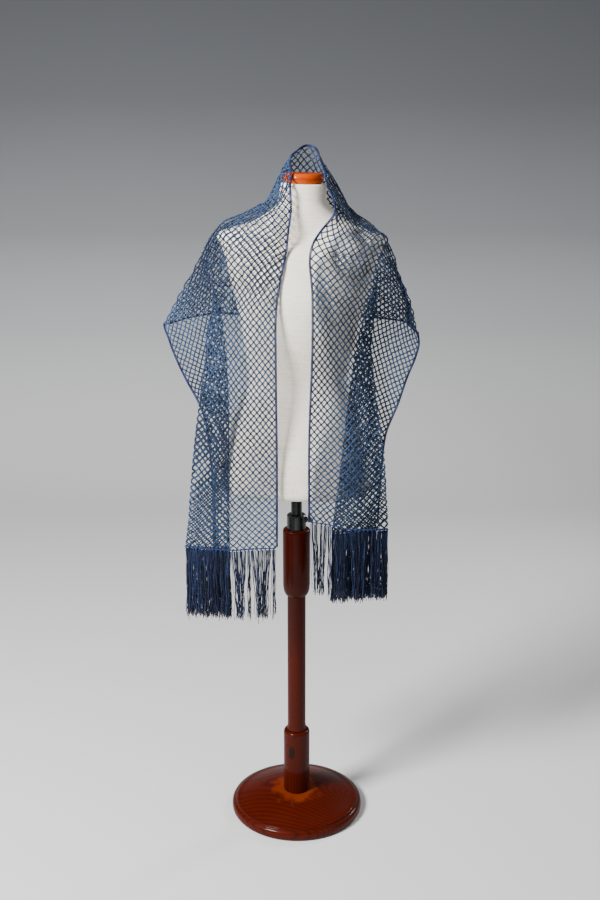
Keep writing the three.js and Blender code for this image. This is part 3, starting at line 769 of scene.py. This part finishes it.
def spread_out(coarse, places, axis):
    """Values between the coarse ones, on a smooth curve through them."""
    coarse = np.moveaxis(coarse, axis, 0)
    last = len(coarse) - 1
    i = np.clip(places.astype(int), 0, last - 1)
    share = (places - i).reshape(-1, *[1] * (coarse.ndim - 1))
    p1, p2 = coarse[i], coarse[i + 1]
    p0 = np.where((i > 0).reshape(share.shape), coarse[np.maximum(i - 1, 0)], 2 * p1 - p2)
    p3 = np.where((i + 2 <= last).reshape(share.shape), coarse[np.minimum(i + 2, last)], 2 * p2 - p1)
    square, cube = 2 * p0 - 5 * p1 + 4 * p2 - p3, 3 * (p1 - p2) + p3 - p0
    curve = p1 + 0.5 * share * (p2 - p0 + share * (square + share * cube))
    return np.moveaxis(curve, 0, axis)


coarse_rows = np.unique(np.append(np.arange(0, len(cloth), COARSE), len(cloth) - 1))
coarse_columns = np.arange(0, cloth.shape[1], COARSE)
chosen = np.ix_(coarse_rows, coarse_columns)
row_places = np.interp(np.arange(len(cloth)), coarse_rows, np.arange(len(coarse_rows)))
flat_cloth = spread_out(laid_flat(cloth[chosen], first_measure(cloth)[chosen]), row_places, 0)
flat_cloth = spread_out(flat_cloth, np.arange(cloth.shape[1]) / COARSE, 1)
along, sideways = flat_cloth[..., 0], flat_cloth[..., 1]
print("laid flat:", along.max().round(), "by", sideways.max().round(), "mm")

# %% [markdown]
# The other way round, a place on the flat cloth is looked up in the grid: from the nearest point, a few
# careful steps lead down the slope of the miss.

# %% Places on the cloth
SEARCH_STEPS, STEP_SHARE = 12, 0.8


def sampled(values, row, column):
    i = np.clip(row.astype(int), 0, values.shape[0] - 2)
    j = np.clip(column.astype(int), 0, values.shape[1] - 2)
    s, t = row - i, column - j
    if values.ndim == 3:
        s, t = s[..., None], t[..., None]
    return (
        values[i, j] * (1 - s) * (1 - t) + values[i + 1, j] * s * (1 - t)
        + values[i, j + 1] * (1 - s) * t + values[i + 1, j + 1] * s * t
    )


slopes = [np.gradient(values, axis=axis) for values in (along, sideways) for axis in (0, 1)]
flat_tree = KDTree(along.size)
for place, (u, v) in enumerate(zip(along.ravel(), sideways.ravel())):
    flat_tree.insert((u, v, 0), place)
flat_tree.balance()


def located(u, v):
    """Rows and columns of the grid at distances u along the cloth and v across it."""
    rows, columns = cloth.shape[:2]
    wanted = np.stack(np.broadcast_arrays(u, v), -1).reshape(-1, 2)
    nearest = np.array([flat_tree.find((*place, 0))[1] for place in wanted]).reshape(np.shape(u))
    row, column = nearest // columns * 1.0, nearest % columns * 1.0
    best, best_miss = np.stack([row, column]), np.full(np.shape(u), np.inf)
    for _ in range(SEARCH_STEPS):
        miss_u, miss_v = u - sampled(along, row, column), v - sampled(sideways, row, column)
        miss = np.hypot(miss_u, miss_v)
        best = np.where(miss < best_miss, np.stack([row, column]), best)
        best_miss = np.minimum(miss, best_miss)
        a, b, c, d = (sampled(slope, row, column) for slope in slopes)
        det = a * d - b * c
        down, over = (d * miss_u - b * miss_v) / det, (a * miss_v - c * miss_u) / det
        row = np.clip(row + np.clip(STEP_SHARE * down, -1, 1), 0, rows - 1)
        column = np.clip(column + np.clip(STEP_SHARE * over, -1, 1), 0, columns - 1)
    print(f"located {best_miss.size} places, the worst {best_miss.max():.2f} mm off")
    return best


normals = face_normals(cloth)

# %% [markdown]
# ## The net
#
# Filet net is knotted mesh by mesh over a gauge, with a knot at each corner and four strands leaving
# it. Each diamond is 15.5 mm along the cloth and 17 mm across it. No two meshes are alike: the knots
# wander a little.

# %% Places of the knots
MESH_LONG, MESH_WIDE = 15.5, 17.0
NET_WIDTH = WIDTH - 2
rows_of_knots = int(round(LENGTH / (MESH_LONG / 2))) + 1
columns_of_knots = int(round(NET_WIDTH / (MESH_WIDE / 2))) + 1
step_u, step_v = LENGTH / (rows_of_knots - 1), NET_WIDTH / (columns_of_knots - 1)
ii, jj = np.meshgrid(np.arange(rows_of_knots), np.arange(columns_of_knots), indexing="ij")
drift = chance.normal(0, 0.55, (2, *ii.shape))
inner_u = (ii > 0) & (ii < rows_of_knots - 1)
inner_v = (jj > 0) & (jj < columns_of_knots - 1)
knot_u = ii * step_u + drift[0] * inner_u
knot_v = 1 + jj * step_v + drift[1] * inner_v
is_knot = (ii + jj) % 2 == 0
knot_row, knot_column = located(knot_u, knot_v)
lift = chance.normal(0, 0.35, ii.shape)[..., None]
knot_out = sampled(normals, knot_row, knot_column)
knot_points = sampled(cloth, knot_row, knot_column) + knot_out * lift
knot_along = unit(sampled(np.gradient(cloth, axis=0), knot_row, knot_column))
knot_axes = np.stack([knot_along, np.cross(knot_out, knot_along), knot_out], axis=-2)
print(is_knot.sum(), "knots")

# %% [markdown]
# A strand runs from each knot to the two knots of the next row, and its middle lies a little beside the
# straight line, because it hangs slightly slack.

# %% Paths of the strands
starts = []
for turn in (-1, 1):
    i, j = np.nonzero(is_knot[:-1] & (jj[:-1] + turn >= 0) & (jj[:-1] + turn < columns_of_knots))
    starts.append(np.column_stack([i, j, i + 1, j + turn]))
strands = np.concatenate(starts)
upper, lower = tuple(strands[:, :2].T), tuple(strands[:, 2:].T)
middle_u, middle_v = (
    (values[upper] + values[lower]) / 2 + chance.normal(0, 0.5, len(strands)) for values in (knot_u, knot_v)
)
middle_row, middle_column = located(middle_u, middle_v)
middles = sampled(cloth, middle_row, middle_column)
middles += sampled(normals, middle_row, middle_column) * chance.normal(0, 0.4, len(middles))[:, None]
paths = np.stack([knot_points[upper], middles, knot_points[lower]], axis=1)
print(len(paths), "strands")

# %% [markdown]
# A knot is a small lump about twice as thick as the strand, a little longer along the cloth and flat
# against it. There are thousands, so each is a squeezed octahedron, rounded by smooth shading. The tone
# of strands and knots drifts slowly over the cloth, as hand-dyed yarn does.

# %% Knots and tones
STRAND, STRAND_SIDES = 1.42, 4
KNOT = np.array([3.3, 2.9, 2.2])
lump = bmesh.new()
bmesh.ops.create_uvsphere(lump, u_segments=4, v_segments=2, radius=1)
bmesh.ops.recalc_face_normals(lump, faces=lump.faces)
LUMP = np.array([vertex.co for vertex in lump.verts])
LUMP_FACES = np.array([[vertex.index for vertex in face.verts] for face in lump.faces])
lump.free()


def knots_at(points, axes):
    count = len(points)
    sizes = KNOT * chance.uniform(0.88, 1.12, (count, 1))
    corners = points[:, None] + np.einsum("bk,nk,nkx->nbx", LUMP, sizes, axes)
    faces = LUMP_FACES[None] + len(LUMP) * np.arange(count)[:, None, None]
    return corners.reshape(-1, 3), faces.reshape(-1, 3).tolist()


def set_tone(obj, tones):
    attribute = obj.data.attributes.new("tone", "FLOAT", "POINT")
    attribute.data.foreach_set("value", np.clip(tones, 0, 1).astype(np.float32))


def drifting(u, v):
    slow = np.sin(u / 61 + 1.3 * np.sin(v / 83)) * 0.10 + np.sin(v / 37 + u / 140) * 0.06
    return 0.58 + slow


# %% [markdown]
# The cloth is made in the three stretches of the solids: each front from its end to the ridge over the
# shoulder, and the back between the two ridges.

# %% The three stretches of net
nets = {}
for name, node, low, high in (
    ("net_front_left", "shawl_front_left", -1, LEFT_RIDGE),
    ("net_back", "shawl_back", LEFT_RIDGE, RIGHT_RIDGE),
    ("net_front_right", "shawl_front_right", RIGHT_RIDGE, len(cloth)),
):
    mine = (middle_row > low) & (middle_row <= high)
    here = is_knot & (knot_row > low) & (knot_row <= high)
    knot_part = knots_at(knot_points[here], knot_axes[here])
    points, faces = joined([tubes(paths[mine], STRAND, STRAND_SIDES), knot_part])
    nets[name] = make_piece(name, points, faces, net_yarn, "dressed_form", "net_yarn", [node])
    strand_tone = drifting(middle_u[mine], middle_v[mine]) + chance.normal(0, 0.09, mine.sum())
    knot_tone = drifting(knot_u[here], knot_v[here]) + 0.08
    strand_corners = paths.shape[1] * STRAND_SIDES
    tones = [np.repeat(strand_tone, strand_corners), np.repeat(knot_tone, len(LUMP))]
    set_tone(nets[name], np.concatenate(tones))

# %% [markdown]
# ## The crocheted edging
#
# A narrow band of crochet finishes each long edge: two yarns that loop through each other round the
# border meshes. Each yarn swings out and back while it circles, and the second is half a loop behind.

# %% Edging along both edges
LOOP, LOOP_STEPS = 4.4, 10
EDGING_MIDDLE, EDGING_REACH, EDGING_HEIGHT, EDGING_YARN = 2.1, 1.9, 1.1, 0.92


def on_line(place, length, values):
    """The values at distances along a line that has one row of values a point."""
    return np.column_stack([np.interp(place, length, values[:, axis]) for axis in range(3)])


def edging(name, column, neighbour, node):
    line = cloth[:, column]
    outwards = unit(np.cross(normals[:, column], np.gradient(line, axis=0)))
    outwards *= np.sign(np.sum(outwards * (line - cloth[:, neighbour]), axis=1))[:, None]
    length = travelled(line, 0)
    total = length[-1]
    count = int(total / LOOP)
    yarns = []
    for phase in (0, np.pi):
        angle = np.linspace(0, 2 * np.pi * count, count * LOOP_STEPS + 1)
        place = np.clip(angle / (2 * np.pi) * (total / count) + 0.9 * np.sin(2 * angle + phase), 0, total)
        where, out, up = (on_line(place, length, values) for values in (line, outwards, normals[:, column]))
        reach = EDGING_MIDDLE + EDGING_REACH * np.sin(angle + phase)
        height = EDGING_HEIGHT * np.cos(angle + phase)
        yarns.append(where + out * reach[:, None] + up * height[:, None])
    points, faces = tubes(yarns, EDGING_YARN, 5)
    obj = make_piece(name, points, faces, edging_yarn, "dressed_form", "edging_yarn", [node])
    set_tone(obj, 0.5 + 0.2 * np.sin(np.arange(len(points)) / 90) + chance.normal(0, 0.03, len(points)))
    return obj


last_column = cloth.shape[1] - 1
crochet_neck = edging("crochet_neck", 0, 1, "edging_neck")
crochet_outer = edging("crochet_outer", last_column, last_column - 1, "edging_outer")

# %% [markdown]
# ## The fringes
#
# A cord of two yarns is knotted along each end, and bundles of yarn are looped over it. Both are coils
# round a line just below the end of the cloth.

# %% Headings
LOCKS = 44
CORD_DROP, CORD_COIL, CORD_TWIST, CORD_YARN = 3.4, 0.9, 3.2, 0.95
WRAP_DROP, WRAP_DEPTH, WRAP_HEIGHT, WRAP_YARN, WRAP_STEPS = 4.2, 2.2, 3.2, 0.85, 17


def coiled(row, place, turn, drop, depth, height):
    length = travelled(cloth[row], 0)
    centre = on_line(place, length, cloth[row]) + [0, 0, -drop]
    out = on_line(place, length, normals[row])
    return centre + out * (depth * np.cos(turn))[:, None] + np.outer(height * np.sin(turn), [0, 0, 1])


def heading(row, total, roots):
    place = np.linspace(1, total - 1, 400)
    twists = [place / CORD_TWIST + phase for phase in (0, np.pi)]
    cords = [coiled(row, place, twist, CORD_DROP, CORD_COIL, CORD_COIL) for twist in twists]
    wide, turn = np.linspace(-1.4, 1.4, WRAP_STEPS), np.linspace(0, 4 * np.pi, WRAP_STEPS)
    wraps = [coiled(row, root + wide, turn, WRAP_DROP, WRAP_DEPTH, WRAP_HEIGHT) for root in roots]
    return [tubes(cords, CORD_YARN, 5), tubes(wraps, WRAP_YARN, 4)]


# %% [markdown]
# The yarns of a lock hang straight down, spread a little, and end unevenly. Neighbouring locks cling
# together into clumps with gaps between them: a clump has a centre and a reach, both as shares of the
# end's width. The locks nearest the neck are looser and have fewer yarns.

# %% Locks
YARNS, LOOSE_YARNS, LOOSE_SHARE = 19, 10, 0.34
LOCK_DROP, LOCK_TOP, YARN = 156, 7, 0.58
YARN_STEPS, YARN_SIDES = 14, 4
fall = np.linspace(0, 1, YARN_STEPS)
ease = np.sin(fall * np.pi / 2) ** 1.3


def lock(row, root, clumps):
    line, length = cloth[row], travelled(cloth[row], 0)
    total = length[-1]
    share = root / total
    gather = sum((centre - share) * total * (abs(share - centre) < reach) for centre, reach in clumps)
    drop = LOCK_DROP + chance.normal(0, 2.5)
    loose = root < LOOSE_SHARE * total
    yarns = []
    for _ in range(LOOSE_YARNS if loose else YARNS):
        place = np.clip(root + chance.normal(0, 2.6 if loose else 4.0), 0.5, total - 0.5)
        aim = np.clip(place + 0.5 * gather + chance.normal(0, 1.5), 0, total)
        here, there = on_line(np.array([place, aim]), length, line)
        phase, pace = chance.uniform(0, 2 * np.pi, 2), chance.uniform(9, 17, 2)
        wave = np.sin(np.outer(fall, pace) + phase) * (0.5 + 1.3 * fall)[:, None] * chance.uniform(0.5, 1.3)
        spread = chance.normal(0, 1.9, 2)
        level = here[:2] + np.outer(ease, (there - here)[:2]) + np.outer(fall, spread) + wave
        height = here[2] - LOCK_TOP - (drop + chance.normal(0, 5)) * fall
        yarns.append(np.column_stack([level, height]))
    return yarns


# %% [markdown]
# A fringe is its heading, in a light tone, and its locks, in which each yarn has a tone of its own.

# %% Both fringes
def fringe(name, row, node, clumps):
    total = travelled(cloth[row], 0)[-1]
    roots = (np.arange(LOCKS) + 0.5) / LOCKS * total
    top = heading(row, total, roots)
    yarns = [yarn for root in roots for yarn in lock(row, root, clumps)]
    points, faces = joined([*top, tubes(yarns, YARN, YARN_SIDES)])
    obj = make_piece(name, points, faces, fringe_yarn, "dressed_form", "fringe_yarn", [node])
    top_tones = np.full(sum(len(part[0]) for part in top), 0.95)
    yarn_tones = np.repeat(chance.normal(0.5, 0.27, len(yarns)), YARN_STEPS * YARN_SIDES)
    set_tone(obj, np.concatenate([top_tones, yarn_tones]))
    print(name, "has", len(yarns), "yarns")
    return obj


last_row = len(cloth) - 1
LEFT_CLUMPS = [(0.08, 0.05), (0.2, 0.04), (0.29, 0.03)]
RIGHT_CLUMPS = [(0.05, 0.05), (0.16, 0.04), (0.26, 0.05)]
fringe_left = fringe("fringe_yarns_left", 0, "fringe_left", LEFT_CLUMPS)
fringe_right = fringe("fringe_yarns_right", last_row, "fringe_right", RIGHT_CLUMPS)

# %% [markdown]
# ## What the cloth was cut to
#
# The whole shawl is one piece of net of 415 by 1750 mm.

# %% [markdown]
# ## The studio
#
# A paper sweep, pale on the floor, rises behind in a wide curve so that no horizon shows. Its colour is
# painted darker as it rises, a painted shade, so that pale linen stands out from it.

# %% Sweep
BEND_START, BEND_RADIUS = 2.2, 1.4
bend = [
    (BEND_START + BEND_RADIUS * math.sin(turn), BEND_RADIUS - BEND_RADIUS * math.cos(turn))
    for turn in np.linspace(0, math.pi / 2, 24)
]
profile = [(-6.0, 0.0), *bend, (BEND_START + BEND_RADIUS, 7.0)]
sweep_points = [(x, y, z) for y, z in profile for x in (-7.0, 7.0)]
sweep_faces = [(2 * i, 2 * i + 1, 2 * i + 3, 2 * i + 2) for i in range(len(profile) - 1)]
sweep_mesh = mesh_of("paper_sweep", sweep_points, sweep_faces)
sweep_mesh.shade_smooth()
sweep = in_scene("paper_sweep", sweep_mesh)
paper, tree = blank_material("pale_paper_with_painted_shade")
room = add(tree, "TexCoord").outputs["Object"]
risen = add(tree, "SeparateXYZ", {"Vector": room}).outputs["Z"]
uneven = math_on(tree, "MULTIPLY_ADD", noise_at(tree, room, 3.0, 2.0), 0.04, risen)
# painted shade: the paper's colour darkens with height
share = remapped(tree, uneven, 0.0, 3.0, interpolation="SMOOTHSTEP")
tones = [(0.0, "#d9d9d8"), (0.1, "#b6b8b9"), (0.28, "#8c8e91"), (0.6, "#66686c"), (1.0, "#4c4e52")]
finished(tree, ramp(tree, share, tones), 0.9)
sweep_mesh.materials.append(paper)
print("sweep of", len(sweep_faces), "faces")

# %% [markdown]
# Soft light comes from a window on the upper left, a weak fill from the right, and a narrow light from
# behind on the right edges the varnish. All three are aimed at the stand's axis, a metre up.

# %% Lights
TARGET = Vector((0, 0, 1.0))
for name, location, size, power in (
    ("key_light", (-2.1, -1.7, 2.7), 1.1, 320),
    ("fill_light", (2.4, -2.0, 1.4), 1.8, 12),
    ("edge_light", (1.7, 1.5, 1.7), 0.5, 26),
):
    light = bpy.data.lights.new(name, "AREA")
    light.shape = "DISK"
    light.size = size
    light.energy = power
    lamp = in_scene(name, light)
    lamp.location = location
    lamp.rotation_euler = (TARGET - Vector(location)).to_track_quat("-Z", "Y").to_euler()
    print(name, power, "W")
world = bpy.data.worlds.new("world")
world.use_nodes = True
background = world.node_tree.nodes["Background"].inputs
background["Color"].default_value = linear("#e6e8ea")
background["Strength"].default_value = 0.3
bpy.context.scene.world = world
